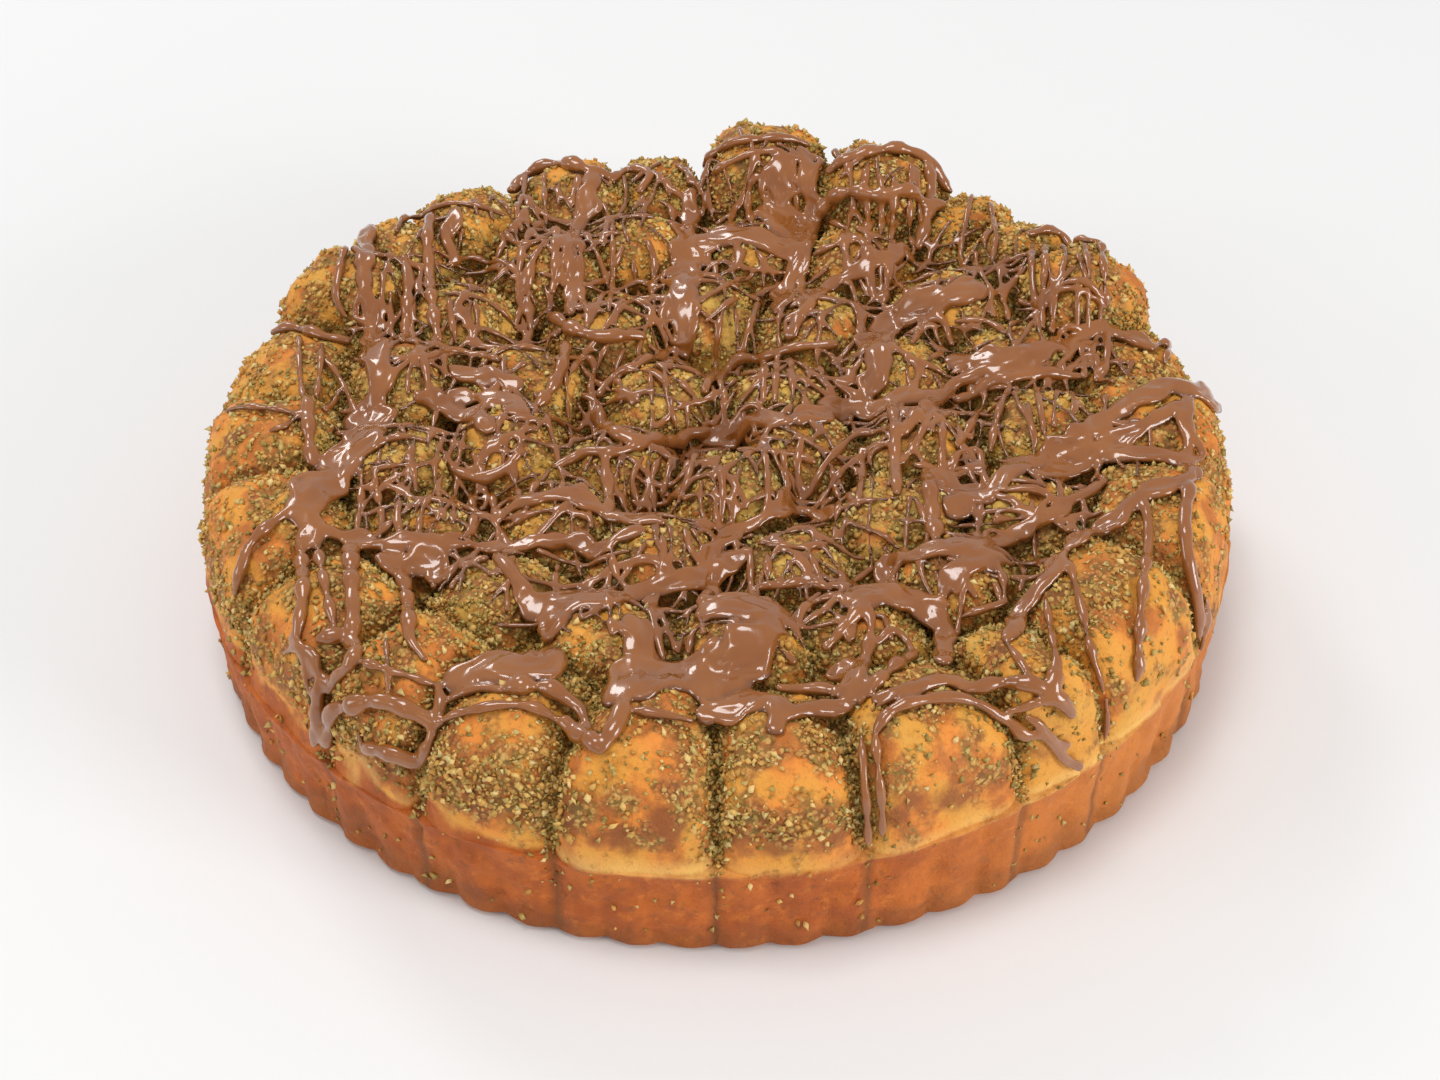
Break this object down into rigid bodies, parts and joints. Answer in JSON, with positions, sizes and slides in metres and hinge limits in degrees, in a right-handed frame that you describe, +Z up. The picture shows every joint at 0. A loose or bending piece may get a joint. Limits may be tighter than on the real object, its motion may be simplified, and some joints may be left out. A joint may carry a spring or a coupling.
{
  "type": "pull-apart bread",
  "caption": "Round pull-apart bread of soft rolls grown together above a fluted foot, under chocolate drizzle and nut crumbs.",
  "frame": {"origin": "centre of the flat underside", "axes": "+Z up out of the rolls' crests, -Y towards the side that the picture shows in front, +X to its right"},
  "size_m": [0.2818, 0.2816, 0.0731],
  "materials": {
    "crust": "baked golden to brick-brown crust, matte",
    "chocolate": "milk chocolate, smooth and glossy",
    "crumbs": "ground nuts and herbs, green to tan, matte"
  },
  "bodies": {
    "root": {"bread": "crust"}
  },
  "joints": []
}
